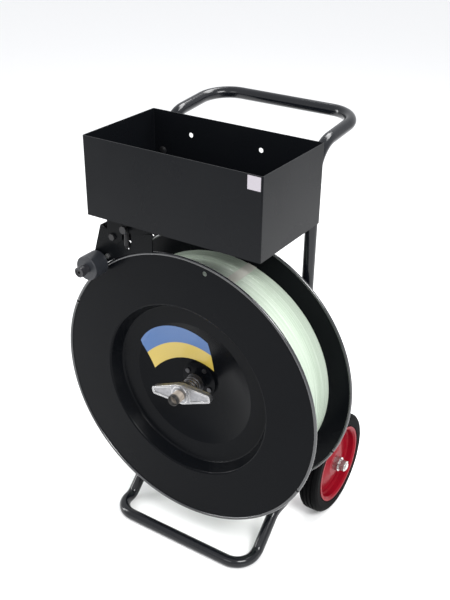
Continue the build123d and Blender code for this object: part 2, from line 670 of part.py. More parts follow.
def brake_hanger():
    """Bent plate bolted under the tray: two ears for the arm's pivot, and an apron that carries the
    spring and reaches down to the rim as a guard."""
    foot = PIVOT[1] - 14
    ear = [(HANGER_LEFT, HANGER_TOP), (HANGER_LEFT, foot + 5), (HANGER_LEFT + 5, foot),
           (PIVOT[0] + 9, foot), (PIVOT[0] + 24, foot + 12), (PIVOT[0] + 24, HANGER_TOP)]
    back_right = PIVOT[0] + BACK_EAR_REACH
    back_ear = ear[:3] + [(back_right - 6, foot), (back_right, foot + 6), (back_right, HANGER_TOP)]
    near, far = PIVOT[0] + GUARD_EDGES[0], PIVOT[0] + GUARD_EDGES[1]
    apron = [(PIVOT[0] + 10, HANGER_TOP), (PIVOT[0] + 10, PIVOT[1] + 18), (near, PIVOT[1] + 18)]
    apron += rim_arc((near, PIVOT[1] - 27), (far, PIVOT[1] - 11), GUARD_RIM_GAP)
    apron += [(far, PIVOT[1] + 20), (HANGER_RIGHT, PIVOT[1] + 32), (HANGER_RIGHT, HANGER_TOP)]
    body = plate_y(ear, HANGER_FRONT_Y, HANGER_FRONT_Y + PLATE)
    body += plate_y(apron, HANGER_FRONT_Y, HANGER_FRONT_Y + PLATE)
    body += plate_y(back_ear, HANGER_BACK_Y - PLATE, HANGER_BACK_Y)
    body += block(HANGER_LEFT, HANGER_RIGHT, HANGER_FRONT_Y, HANGER_BACK_Y, TRAY_Z - PLATE, TRAY_Z)
    body -= rod_y(M8[0] / 2 + BOLT_PLAY, HANGER_FRONT_Y - 1, HANGER_BACK_Y + 1, PIVOT[0], REEL_Z + PIVOT[1])
    anchor_z = REEL_Z + SPRING_TOP
    body -= rod_y(M6[0] / 2 + BOLT_PLAY, HANGER_FRONT_Y - 1, HANGER_FRONT_Y + 5, SPRING_X, anchor_z)
    body -= rod_y(2.5, HANGER_FRONT_Y - 1, HANGER_FRONT_Y + 5, HANGER_RIGHT - 11, REEL_Z + PIVOT[1] + 29)
    for x in HANGER_BOLT_X:
        body -= Pos(x, HANGER_BOLT_Y, TRAY_Z) * Cylinder(M6[0] / 2 + BOLT_PLAY, 20)
    return body


def hanger_bolts():
    """Low round-headed screws through the tray's floor, each with a nut under the hanger."""
    solids = []
    upward = (Align.CENTER, Align.CENTER, Align.MIN)
    for x in HANGER_BOLT_X:
        head = Cylinder(5.5, 2.5, align=upward)
        shank = Cylinder(M6[0] / 2, PLATE + M6[3] + 4, align=upward)
        nut = extrude(RegularPolygon(M6[1] / 2, 6, major_radius=False) - Circle(M6[0] / 2), M6[3])
        screw = Pos(0, 0, TRAY_Z + TRAY_SHEET) * head + Pos(0, 0, TRAY_Z - PLATE - M6[3] - 2) * shank
        solids.append(Pos(x, HANGER_BOLT_Y, 0) * screw)
        solids.append(Pos(x, HANGER_BOLT_Y, TRAY_Z - PLATE - M6[3]) * nut)
    return solids


def arm_outline():
    """Front plate of the brake arm, kept clear of the reel's rim by a round lower edge."""
    left_foot = (ROLLER[0] - 21.5, ROLLER[1] - 6)
    right = PIVOT[0] + ARM_REACH
    lower = rim_arc((ROLLER[0] - 8, ROLLER[1] - 14), (right, PIVOT[1] - 27), ARM_RIM_GAP)
    top = [(right, PIVOT[1] - 11), (right - 14, PIVOT[1] + 1), (PIVOT[0] + 16, PIVOT[1] + 14),
           (PIVOT[0] - 12, PIVOT[1] + 14), (PIVOT[0] - 15, PIVOT[1] + 10)]
    return [arm_top_left(), left_foot] + lower + top


def arm_top_left():
    return (PIVOT[0] - 35, PIVOT[1] + 17)


def brake_arm():
    """Bent channel: front plate, left side and a short rear plate, with holes for pivot and roller."""
    outline = arm_outline()
    top, foot = outline[0], outline[1]
    length = hypot(top[0] - foot[0], top[1] - foot[1])
    along = ((foot[0] - top[0]) / length, (foot[1] - top[1]) / length)
    inward = (-along[1], along[0])
    side = [top, foot, (foot[0] + inward[0] * PLATE, foot[1] + inward[1] * PLATE),
            (top[0] + inward[0] * PLATE, top[1] + inward[1] * PLATE)]
    rear = [top, (top[0] + along[0] * 34, top[1] + along[1] * 34), (PIVOT[0] - 8, PIVOT[1] - 14),
            (PIVOT[0] + 9, PIVOT[1] - 13), (PIVOT[0] + 14, PIVOT[1]), (PIVOT[0] + 9, PIVOT[1] + 12),
            (PIVOT[0] - 12, PIVOT[1] + 14)]
    arm = plate_y(outline, ARM_FRONT_Y, ARM_FRONT_Y + PLATE)
    arm += plate_y(side, ARM_FRONT_Y, ARM_BACK_Y)
    arm += plate_y(rear, ARM_BACK_Y - PLATE, ARM_BACK_Y)
    arm -= rod_y(SLEEVE_OD / 2, ARM_FRONT_Y - 1, ARM_BACK_Y + 1, PIVOT[0], REEL_Z + PIVOT[1])
    arm -= rod_y(M8[0] / 2 + BOLT_PLAY, ARM_FRONT_Y - 1, ARM_FRONT_Y + 5, ROLLER[0], REEL_Z + ROLLER[1])
    arm -= rod_y(2.5, ARM_FRONT_Y - 1, ARM_FRONT_Y + 5, SPRING_X, REEL_Z + SPRING_LOW)
    x, z = shoe_centre()
    arm -= rod_y(M6[0] / 2 + BOLT_PLAY, ARM_FRONT_Y - 1, ARM_FRONT_Y + 5, x, z)
    hook = (top[0] + along[0] * 6, ARM_FRONT_Y + 16, REEL_Z + top[1] + along[1] * 6)
    arm -= Pos(*hook) * Rot(0, 90, 0) * Cylinder(2.5, 14)
    return arm


def shoe_centre():
    x, height = outside_rim(SHOE_ANGLE, SHOE_LIFT)
    return x, REEL_Z + height


def brake_shoe():
    """Rubber block behind the arm's plate, hollowed to the reel's rim."""
    x, z = shoe_centre()
    y0 = ARM_FRONT_Y + PLATE
    shoe = Pos(x, y0 + SHOE_DEPTH / 2, z) * Rot(0, 90 - SHOE_ANGLE, 0) * Box(SHOE_LENGTH, SHOE_DEPTH, 17)
    shoe -= rod_y(FLANGE_R + SHOE_GAP, y0 - 1, y0 + 20)
    return shoe - rod_y(M6[0] / 2 + BOLT_PLAY, y0 - 1, y0 + 20, x, z)


def shoe_screw():
    x, z = shoe_centre()
    head = hexagon_y(M6[1], ARM_FRONT_Y - M6[2], ARM_FRONT_Y, x, z)
    back = ARM_FRONT_Y + PLATE + SHOE_DEPTH
    washer = rod_y(6.0, back, back + 1.2, x, z, M6[0] / 2)
    return head + washer + rod_y(M6[0] / 2, ARM_FRONT_Y - 1, back + 6, x, z)


def pivot_bush():
    return rod_y(SLEEVE_OD / 2, ARM_FRONT_Y, ARM_BACK_Y, PIVOT[0], REEL_Z + PIVOT[1], M8[0] / 2 + RUNNING)


def pivot_bolt():
    x, z = PIVOT[0], REEL_Z + PIVOT[1]
    head = hexagon_y(M8[1], HANGER_FRONT_Y - M8[2], HANGER_FRONT_Y, x, z)
    return head + rod_y(M8[0] / 2, HANGER_FRONT_Y - 1, HANGER_BACK_Y + 9, x, z)


def pivot_nut():
    return hexagon_y(M8[1], HANGER_BACK_Y, HANGER_BACK_Y + M8[3], PIVOT[0], REEL_Z + PIVOT[1], M8[0] / 2)


def spring_anchor():
    x, z = SPRING_X, REEL_Z + SPRING_TOP
    head = rod_y(8.0, SPRING_Y - 6.5, SPRING_Y - 3, x, z)
    nut = hexagon_y(M6[1], HANGER_FRONT_Y + PLATE, HANGER_FRONT_Y + PLATE + M6[3], x, z)
    return head + nut + rod_y(M6[0] / 2, SPRING_Y - 4, HANGER_FRONT_Y + PLATE + 1, x, z)


def brake_spring():
    """Extension spring: a close-wound body with an eye on the anchor and a hook in the arm."""
    top, low = REEL_Z + SPRING_TOP, REEL_Z + SPRING_LOW
    wire = SPRING_WIRE / 2
    body_low, body_top = low + 11, top - 11
    body = Cylinder(SPRING_OD / 2, body_top - body_low)
    body -= Cylinder(SPRING_OD / 2 - SPRING_WIRE, body_top - body_low - 4)
    body = Pos(SPRING_X, SPRING_Y, (body_low + body_top) / 2) * body
    eye_r = M6[0] / 2 + wire + 1.2
    eye = Pos(SPRING_X, SPRING_Y, top) * Rot(90, 0, 0) * Torus(eye_r, wire)
    neck = Pos(SPRING_X, SPRING_Y, (top - eye_r + body_top) / 2) * Cylinder(wire, top - eye_r - body_top + 1)
    hole_y = ARM_FRONT_Y + PLATE / 2
    hook = bent_tube([(SPRING_X, SPRING_Y, body_low + 1), (SPRING_X, SPRING_Y, low),
                      (SPRING_X, hole_y + 5, low), (SPRING_X, hole_y + 5, low + 5)], 3.0, SPRING_WIRE)
    return body + eye + neck + hook


def feed_roller():
    """Plastic roller with rounded edges, running on the steel sleeve."""
    y0, y1 = ROLLER_Y
    radius, bore = ROLLER_D / 2, SLEEVE_OD / 2 + RUNNING
    roller = turned_y([(bore, y0), (radius - 1.5, y0), (radius, y0 + 1.5), (radius, y1 - 1.5),
                       (radius - 1.5, y1), (bore, y1)], 0)
    return Pos(ROLLER[0], 0, REEL_Z + ROLLER[1]) * roller


def at_roller(shape):
    return Pos(ROLLER[0], 0, REEL_Z + ROLLER[1]) * shape


def roller_sleeve():
    return at_roller(rod_y(SLEEVE_OD / 2, ROLLER_Y[0] - ROLLER_PLAY, ROLLER_Y[1] + ROLLER_PLAY, z=0,
                           bore=M8[0] / 2 + BOLT_PLAY / 2))


def roller_collar():
    """Stepped collar in front of the roller, with the screw's head sunk in its end."""
    back, front = ROLLER_Y[0] - ROLLER_PLAY, COLLAR_FRONT_Y
    radius, bore = COLLAR_D / 2, M8[0] / 2 + BOLT_PLAY / 2
    collar = turned_y([(bore, front + 9), (7.0, front + 9), (7.0, front), (radius - 1, front),
                       (radius, front + 1), (radius, back - 11), (radius - 2, back - 10), (radius - 2, back),
                       (bore, back)], 0)
    return at_roller(collar)


def roller_washer():
    return at_roller(rod_y(8.0, ROLLER_Y[1] + ROLLER_PLAY, ARM_FRONT_Y, z=0, bore=M8[0] / 2 + BOLT_PLAY / 2))


def roller_screw():
    front = COLLAR_FRONT_Y
    head = rod_y(6.5, front + 1.0, front + 9, z=0) - hexagon_y(6.0, front, front + 5, z=0)
    return at_roller(head + rod_y(M8[0] / 2, front + 8, ARM_FRONT_Y + PLATE + 7.5, z=0))


def roller_nut():
    return at_roller(hexagon_y(M8[1], ARM_FRONT_Y + PLATE, ARM_FRONT_Y + PLATE + M8[3], z=0, bore=M8[0] / 2))


def build():
    """Write every node."""
    os.makedirs("parts", exist_ok=True)
    foot_rod = bent_tube(foot_corners(), FOOT_RADII, TUBE_OD)
    write("handle_frame_tube", handle_frame_tube())
    write("foot_loop_tube", bent_tube(foot_corners(), FOOT_RADII, TUBE_OD, TUBE_WALL))
    write("tube_joint_sleeves", *tube_joint_sleeves())
    write("spindle_cross_bar", spindle_cross_bar())
    write("lower_cross_tube", lower_cross_tube())
    for name, side in (("left", -1), ("right", 1)):
        write("axle_bracket_" + name, axle_bracket(side, foot_rod))
        write("tyre_" + name, tyre(side))
        write("wheel_disc_outer_" + name, rim_half(side, side))
        write("wheel_disc_inner_" + name, rim_half(side, -side))
        write("wheel_hub_" + name, wheel_hub(side))
        write("wheel_bearings_" + name, *wheel_bearings(side))
    write("wheel_axle", rod_x(AXLE_D / 2, -AXLE_END, AXLE_END))
    write("axle_washers", *axle_washers())
    write("axle_nuts", *axle_nuts())

    write("reel_spindle", reel_spindle())
    nut_end = BAR_BACK_Y + SPINDLE_NUT[2]
    write("spindle_nut", hexagon_y(SPINDLE_NUT[1], BAR_BACK_Y, nut_end, bore=SPINDLE_D / 2))
    write("spindle_end_screw", spindle_end_screw())
    write("hub_tube", rod_y(HUB_TUBE_R, HUB_TUBE_FRONT, HUB_TUBE_BACK, bore=HUB_TUBE_R - HUB_TUBE_WALL))
    bush = HUB_TUBE_R - HUB_TUBE_WALL
    bore = SPINDLE_D / 2 + RUNNING
    front = SPINDLE_FRONT + END_PLAY
    write("hub_bushes", rod_y(bush, front, front + BUSH_LENGTH, bore=bore),
          rod_y(bush, HUB_TUBE_BACK - BUSH_LENGTH, HUB_TUBE_BACK, bore=bore))
    write("back_flange", back_flange())
    write("hub_spacer", hub_spacer())
    core_r = CORE_BORE / 2
    write("strap_core", rod_y(core_r + CORE_WALL, CORE_Y[0], CORE_Y[1], bore=core_r))
    write("strap_coil", rod_y(COIL_OD / 2, CORE_Y[0] + 0.3, CORE_Y[1] - 0.3, bore=core_r + CORE_WALL))
    write("coil_tape", coil_tape())
    write("front_flange", front_flange())
    write("front_flange_hub", front_flange_hub())
    write("hub_rivets", *hub_rivets())
    write("flange_label", flange_label())
    write("clamp_spring", clamp_spring())
    washer_bore = HUB_TUBE_R + 0.4
    write("clamp_washers", rod_y(CLAMP_WASHER_R, CLAMP_BACK_Y, BOSS_FRONT_Y, bore=washer_bore),
          rod_y(CLAMP_WASHER_R, CLAMP_FRONT_Y - CLAMP_WASHER, CLAMP_FRONT_Y, bore=washer_bore))
    write("thrust_washer", rod_y(NUT_BOSS_R, THRUST_Y, THRUST_Y + THRUST_WASHER, bore=washer_bore))
    write("wing_nut", wing_nut())

    write("tool_tray", tool_tray())
    write("tray_bolts", *tray_bolts())
    write("tray_nuts", *tray_nuts())
    write("tray_sticker", tray_sticker())
    write("brake_hanger", brake_hanger())
    write("hanger_bolts", *hanger_bolts())
    write("pivot_bolt", pivot_bolt())
    write("pivot_nut", pivot_nut())
    write("spring_anchor", spring_anchor())
    write("brake_spring", brake_spring())
    write("brake_arm", brake_arm())
    write("pivot_bush", pivot_bush())
    write("brake_shoe", brake_shoe())
    write("shoe_screw", shoe_screw())
    write("roller_sleeve", roller_sleeve())
    write("roller_collar", roller_collar())
    write("roller_washer", roller_washer())
    write("roller_screw", roller_screw())
    write("roller_nut", roller_nut())
    write("feed_roller", feed_roller())


build()
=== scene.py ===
import json
from math import cos, pi, radians, sin

import bpy
import numpy as np
from mathutils import Matrix, Vector


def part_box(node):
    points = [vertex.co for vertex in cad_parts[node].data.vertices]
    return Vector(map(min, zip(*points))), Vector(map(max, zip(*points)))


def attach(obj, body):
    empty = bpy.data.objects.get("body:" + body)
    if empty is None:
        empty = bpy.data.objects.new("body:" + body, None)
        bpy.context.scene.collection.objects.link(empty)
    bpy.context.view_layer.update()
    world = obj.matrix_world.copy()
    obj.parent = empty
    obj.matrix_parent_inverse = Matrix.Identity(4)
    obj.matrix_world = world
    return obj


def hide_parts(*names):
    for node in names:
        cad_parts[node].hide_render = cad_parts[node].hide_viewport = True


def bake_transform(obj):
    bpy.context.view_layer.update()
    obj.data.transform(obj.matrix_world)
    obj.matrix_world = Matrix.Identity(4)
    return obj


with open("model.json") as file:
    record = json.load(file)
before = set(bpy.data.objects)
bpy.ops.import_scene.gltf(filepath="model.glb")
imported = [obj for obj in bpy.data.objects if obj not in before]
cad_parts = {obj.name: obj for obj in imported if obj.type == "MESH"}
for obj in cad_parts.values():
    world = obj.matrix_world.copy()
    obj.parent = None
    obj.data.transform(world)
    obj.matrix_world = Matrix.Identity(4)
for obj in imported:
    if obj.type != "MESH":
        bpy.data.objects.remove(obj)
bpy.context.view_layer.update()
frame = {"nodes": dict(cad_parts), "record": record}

nodes = frame["nodes"]

# ---------------------------------------------------------------- camera
# The view stands in front and to the right of the cart, a little above its handle.
CAMERA_PLACE = Vector((0.9158, -1.4394, 1.4584))
CAMERA_AZIMUTH = radians(32.63)
CAMERA_ELEVATION = radians(28.21)
CAMERA_ROLL = radians(0.79)
CAMERA_LENS = 53.06
FILM_HEIGHT = 36.0

back = Vector((sin(CAMERA_AZIMUTH) * cos(CAMERA_ELEVATION),
               -cos(CAMERA_AZIMUTH) * cos(CAMERA_ELEVATION), sin(CAMERA_ELEVATION)))
level = (-back).cross(Vector((0, 0, 1))).normalized()
upright = level.cross(-back)
right = level * cos(CAMERA_ROLL) + upright * sin(CAMERA_ROLL)
up = upright * cos(CAMERA_ROLL) - level * sin(CAMERA_ROLL)
camera = bpy.data.objects.new("camera", bpy.data.cameras.new("camera"))
camera.data.sensor_fit = "VERTICAL"
camera.data.sensor_height = FILM_HEIGHT
camera.data.lens = CAMERA_LENS
camera.matrix_world = Matrix.Translation(CAMERA_PLACE) @ Matrix((right, up, back)).transposed().to_4x4()
bpy.context.scene.collection.objects.link(camera)
bpy.context.scene.camera = camera


# ---------------------------------------------------------------- studio
# Soft boxes over a pale floor: a large one high on the right, a long one on the left for the rims'
# edge light, and a weak one in front that fills the reel's dish.
SOFTBOXES = [
    ("key", (1.8, -1.2, 2.4), (0.05, -0.05, 0.45), (1.3, 0.9), 75),
    ("edge", (-1.9, -0.9, 1.1), (-0.1, -0.1, 0.4), (0.35, 1.6), 26),
    ("fill", (-0.3, -2.6, 1.9), (0, -0.1, 0.4), (1.4, 0.7), 12),
    ("top", (0.2, 1.1, 2.6), (0, 0.1, 0.7), (1.9, 0.7), 55),
]
FLOOR_HALF = 30.0
FLOOR_COLOUR = (0.92, 0.92, 0.92, 1)

for name, place, target, size, power in SOFTBOXES:
    lamp = bpy.data.lights.new(name, "AREA")
    lamp.shape = "RECTANGLE"
    lamp.size, lamp.size_y = size
    lamp.energy = power
    box = bpy.data.objects.new(name, lamp)
    box.location = place
    box.rotation_euler = (Vector(target) - Vector(place)).to_track_quat("-Z", "Y").to_euler()
    bpy.context.scene.collection.objects.link(box)

world = bpy.data.worlds.new("studio")
world.use_nodes = True
world.node_tree.nodes["Background"].inputs["Color"].default_value = (0.97, 0.98, 1.0, 1)
world.node_tree.nodes["Background"].inputs["Strength"].default_value = 1.0
bpy.context.scene.world = world
bpy.context.scene.view_settings.view_transform = "Standard"

floor_mesh = bpy.data.meshes.new("floor")
floor_mesh.from_pydata([(-FLOOR_HALF, -FLOOR_HALF, 0), (FLOOR_HALF, -FLOOR_HALF, 0),
                        (FLOOR_HALF, FLOOR_HALF, 0), (-FLOOR_HALF, FLOOR_HALF, 0)], [], [(0, 1, 2, 3)])
floor = bpy.data.objects.new("floor", floor_mesh)
bpy.context.scene.collection.objects.link(floor)
floor_paint = bpy.data.materials.new("floor_paint")
floor_paint.use_nodes = True
floor_paint.node_tree.nodes["Principled BSDF"].inputs["Base Color"].default_value = FLOOR_COLOUR
floor_paint.node_tree.nodes["Principled BSDF"].inputs["Roughness"].default_value = 0.8
floor_mesh.materials.append(floor_paint)


# ---------------------------------------------------------------- tube frame
# Handle tube and foot loop of 25 mm steel tube, joined inside by sleeves, with a square spindle bar,
# a lower cross tube and two axle plates welded between them. All of it is black powder coat.

class Finish:
    """Node material of one finish. add() places a node, sets plain values and links node outputs."""

    def __init__(self, name):
        self.material = bpy.data.materials.new(name)
        self.material.use_nodes = True
        self.tree = self.material.node_tree
        self.shader = self.tree.nodes["Principled BSDF"]
        self.place = self.add("TexCoord").outputs["Object"]

    def add(self, kind, settings=None, **sockets):
        node = self.tree.nodes.new("ShaderNode" + kind)
        for key, value in (settings or {}).items():
            setattr(node, key, value)
        self.set(node, **sockets)
        return node

    def set(self, node, **sockets):
        for key, value in sockets.items():
            socket = node.inputs[int(key[1:])] if key[1:].isdigit() else node.inputs[key.replace("_", " ")]
            if isinstance(value, bpy.types.NodeSocket):
                self.tree.links.new(value, socket)
            else:
                socket.default_value = value

    def shade(self, **sockets):
        self.set(self.shader, **sockets)

    def noise(self, scale, detail=3.0, rough=0.5, stretch=(1, 1, 1)):
        """Noise of the place on the piece, drawn out along an axis by a stretch below one."""
        moved = self.add("Mapping", Vector=self.place, Scale=stretch)
        grain = self.add("TexNoise", Vector=moved.outputs["Vector"], Scale=scale, Detail=detail,
                         Roughness=rough)
        return grain.outputs[0]

    def between(self, value, low, high, from_low=0.0, from_high=1.0):
        """Straight line that takes from_low..from_high to low..high."""
        node = self.add("MapRange", Value=value, From_Min=from_low, From_Max=from_high, To_Min=low,
                        To_Max=high)
        return node.outputs[0]

    def blend(self, share, low, high):
        """Colour between two colours."""
        node = self.add("Mix", {"data_type": "RGBA"}, s0=share, s6=low, s7=high)
        return node.outputs[2]

    def math(self, kind, a, b=0.0):
        return self.add("Math", {"operation": kind}, s0=a, s1=b).outputs[0]

    def bump(self, height, strength, depth, under=None):
        node = self.add("Bump", Height=height, Strength=strength, Distance=depth)
        if under is not None:
            self.set(node, Normal=under)
        return node.outputs["Normal"]


def powder_coat(name, colour, rough, gloss=0.3):
    """Thick sprayed paint: an orange peel of half a millimetre, and roughness that drifts in patches."""
    paint = Finish(name)
    peel = paint.noise(1500, detail=1.0)
    cloud = paint.noise(9, detail=2.0)
    dust = paint.noise(420, detail=4.0, rough=0.7)
    speck = paint.between(dust, 0.0, 0.35, 0.66, 0.82)
    pale = tuple(min(1, 2.2 * c + 0.012) for c in colour)
    paint.shade(Base_Color=paint.blend(speck, (*colour, 1), (*pale, 1)),
                Roughness=paint.between(cloud, rough - 0.05, rough + 0.06, 0.3, 0.7),
                Specular_IOR_Level=gloss, Normal=paint.bump(peel, 0.12, 0.0002))
    return paint.material


def paint_nodes(material, *names):
    """Give CAD nodes one finish."""
    for name in names:
        slots = nodes[name].material_slots
        if slots:
            for slot in slots:
                slot.material = material
        else:
            nodes[name].data.materials.append(material)


def grid_piece(name, points, body, material, wrap=(False, False)):
    """Mesh over a grid of points, as an array of rows by columns by 3. A wrapped side closes on itself.
    A piece given no body is attached to none."""
    rows, columns = points.shape[:2]
    index = np.arange(rows * columns).reshape(rows, columns)
    if wrap[0]:
        index = np.vstack([index, index[:1]])
    if wrap[1]:
        index = np.hstack([index, index[:, :1]])
    quads = np.stack([index[:-1, :-1], index[1:, :-1], index[1:, 1:], index[:-1, 1:]], -1).reshape(-1, 4)
    mesh = bpy.data.meshes.new(name)
    mesh.from_pydata(points.reshape(-1, 3).tolist(), [], quads.tolist())
    mesh.polygons.foreach_set("use_smooth", np.ones(len(quads), bool))
    mesh.materials.append(material)
    piece = bpy.data.objects.new(name, mesh)
    bpy.context.scene.collection.objects.link(piece)
    if body:
        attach(piece, body)
    return piece


def swept(line, radius, sides, closed=False):
    """Ring of points round each point of a line: centre + radius (across cos a + over sin a), with
    across and over square to the line's run and turned as little as it allows."""
    run = np.roll(line, -1, 0) - np.roll(line, 1, 0)
    if not closed:
        run[0], run[-1] = line[1] - line[0], line[-1] - line[-2]
    run /= np.linalg.norm(run, axis=1, keepdims=True)
    spare = np.where(np.abs(run[:, 2:]) < 0.9, [[0.0, 0.0, 1.0]], [[1.0, 0.0, 0.0]])
    across = np.cross(run, spare)
    across /= np.linalg.norm(across, axis=1, keepdims=True)
    over = np.cross(run, across)
    turn = np.linspace(0, 2 * pi, sides, endpoint=False)[None, :, None]
    radius = np.asarray(radius, float).reshape(-1, 1, 1)
    return line[:, None] + radius * (across[:, None] * np.cos(turn) + over[:, None] * np.sin(turn))


FRAME_BLACK = powder_coat("frame_powder_coat", (0.0035, 0.0042, 0.006), 0.15, 0.36)
paint_nodes(FRAME_BLACK, "handle_frame_tube", "foot_loop_tube", "tube_joint_sleeves", "spindle_cross_bar",
            "lower_cross_tube", "axle_bracket_left", "axle_bracket_right")

# Weld beads: each follows the line where a bar meets the upright tube, with a ripple along it.
TUBE_R = 0.0127
UPRIGHT_X = 0.178
BEAD_R = 0.0021
BEAD_RIPPLE = 0.0003
BEAD_RIPPLE_STEP = 1.9
BEAD_STEPS = 120
BAR_HALF_DEPTH = 0.0124
BAR_HALF_HEIGHT = 0.0253
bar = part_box("spindle_cross_bar")
low_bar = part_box("lower_cross_tube")
UPRIGHT_Y = (low_bar[0][1] + low_bar[1][1]) / 2


def saddle(y, z, side):
    """Line on the upright tube: x stands off the tube's middle by the root of R squared less y squared."""
    inward = np.sqrt(np.maximum(TUBE_R ** 2 - y ** 2, 0))
    return np.stack([side * (UPRIGHT_X - inward), UPRIGHT_Y + y, z], 1)


def bead(name, line):
    """Bead carried along a closed line, its radius R + ripple sin(place along it)."""
    radius = BEAD_R + BEAD_RIPPLE * np.sin(np.arange(len(line)) * BEAD_RIPPLE_STEP)
    return grid_piece(name, swept(line, radius, 10, closed=True), "frame", FRAME_BLACK, wrap=(True, True))


around = np.linspace(0, 2 * pi, BEAD_STEPS, endpoint=False)
low_middle = (low_bar[0][2] + low_bar[1][2]) / 2
bar_middle = (bar[0][2] + bar[1][2]) / 2
# The bar is square, so its line is a circle's drawn out to a box: each part over the larger of the two.
boxed = np.maximum(np.abs(np.cos(around)), np.abs(np.sin(around)))
for side, hand in ((-1, "left"), (1, "right")):
    bead("low_bar_weld_" + hand,
         saddle(TUBE_R * np.sin(around), low_middle + TUBE_R * np.cos(around), side))
    bead("spindle_bar_weld_" + hand,
         saddle(BAR_HALF_DEPTH * np.sin(around) / boxed,
                bar_middle + BAR_HALF_HEIGHT * np.cos(around) / boxed, side))


# ---------------------------------------------------------------- wheels
# Pressed red steel discs in two halves, a grooved solid rubber tyre between their lips, a zinc hub with
# plain bearings on a plated axle, and a washer and nut outside.

def zinc_plate(name, colour=(0.62, 0.62, 0.61), rough=0.28):
    """Bright plate: metal with fine scratches and a slow clouding of its roughness."""
    plate = Finish(name)
    scratch = plate.noise(700, detail=4.0, rough=0.65, stretch=(1, 1, 0.25))
    cloud = plate.noise(60, detail=3.0)
    dull = tuple(0.72 * c for c in colour)
    plate.shade(Base_Color=plate.blend(cloud, (*dull, 1), (*colour, 1)), Metallic=1.0,
                Roughness=plate.between(scratch, rough - 0.08, rough + 0.14, 0.3, 0.7),
                Normal=plate.bump(scratch, 0.08, 0.0002))
    return plate.material


def red_enamel():
    """Stoved gloss enamel over pressed steel, with a faint waviness."""
    enamel = Finish("red_enamel")
    wave = enamel.noise(260, detail=1.0)
    shade = enamel.noise(18, detail=2.0)
    enamel.shade(Base_Color=enamel.blend(shade, (0.17, 0.0025, 0.009, 1), (0.235, 0.004, 0.012, 1)),
                 Roughness=0.3, Specular_IOR_Level=0.06, Normal=enamel.bump(wave, 0.06, 0.0003))
    return enamel.material


def tyre_rubber():
    """Moulded solid rubber: fine grain, a greyer bloom in patches."""
    rubber = Finish("tyre_rubber")
    grain = rubber.noise(1800, detail=3.0)
    bloom = rubber.noise(30, detail=4.0, rough=0.7)
    rubber.shade(Base_Color=rubber.blend(bloom, (0.001, 0.001, 0.0012, 1), (0.003, 0.003, 0.0034, 1)),
                 Roughness=rubber.between(bloom, 0.5, 0.66), Specular_IOR_Level=0.02,
                 Normal=rubber.bump(grain, 0.25, 0.0003))
    return rubber.material


RED = red_enamel()
RUBBER = tyre_rubber()
ZINC = zinc_plate("zinc_plate")
for hand in ("left", "right"):
    paint_nodes(RUBBER, "tyre_" + hand)
    paint_nodes(RED, "wheel_disc_outer_" + hand, "wheel_disc_inner_" + hand)
    paint_nodes(ZINC, "wheel_hub_" + hand, "wheel_bearings_" + hand)
paint_nodes(ZINC, "wheel_axle", "axle_washers", "axle_nuts")


# ---------------------------------------------------------------- spindle and hub tube
# A turned spindle bolted to the spindle bar. The hub tube runs on it with two bronze bushes; it is
# plated in a dull tan and threaded at the front for the wing nut.
HUB_TUBE_R = 0.0127
HUB_BORE_R = 0.0111
THREAD_PITCH = 0.003175
THREAD_DEPTH = 0.0011
THREAD_LENGTH = 0.062
THREAD_FADE = 0.004
THREAD_SHARPNESS = 1.35
CREST_FLAT = 0.12
THREAD_LEAD_IN = 0.0015
CHAMFER = 0.0008
END_ROUND = 0.001
FIRST_COLUMN = 0.0012
FRONT_CHAMFER = 0.0015
TUBE_SKIN = 0.00005
DARK_END = 0.010
DARK_FADE = 0.002
TURN_STEPS = 72
THREAD_STEPS = 210

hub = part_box("hub_tube")
REEL_AXIS_Z = (hub[0][2] + hub[1][2]) / 2
front, rear = hub[0][1], hub[1][1]


def tan_plate():
    """Dull tan plating with brown stains, near-black over the tube's front end, bore and end face included.
    """
    plate = Finish("tan_plate")
    stain = plate.noise(120, detail=4.0, rough=0.65)
    along = plate.add("SeparateXYZ", Vector=plate.place).outputs["Y"]
    # Near-black on the first DARK_END of the tube from its front, fading over DARK_FADE; tan beyond it.
    past_dark_end = plate.between(along, 0.0, 1.0, front + DARK_END - DARK_FADE, front + DARK_END + DARK_FADE)
    tan = plate.blend(stain, (0.20, 0.17, 0.14, 1), (0.34, 0.30, 0.255, 1))
    plate.shade(Base_Color=plate.blend(past_dark_end, (0.018, 0.017, 0.016, 1), tan), Metallic=0.4,
                Roughness=plate.between(stain, 0.44, 0.6, 0.3, 0.7), Normal=plate.bump(stain, 0.15, 0.0002))
    return plate.material


def bronze():
    """Sintered bush metal, very dark, its pores fine pits."""
    metal = Finish("sintered_bronze")
    pores = metal.noise(2200, detail=2.0)
    metal.shade(Base_Color=metal.blend(pores, (0.045, 0.032, 0.02, 1), (0.10, 0.068, 0.04, 1)), Metallic=0.9,
                Roughness=0.42, Normal=metal.bump(pores, 0.2, 0.0002))
    return metal.material


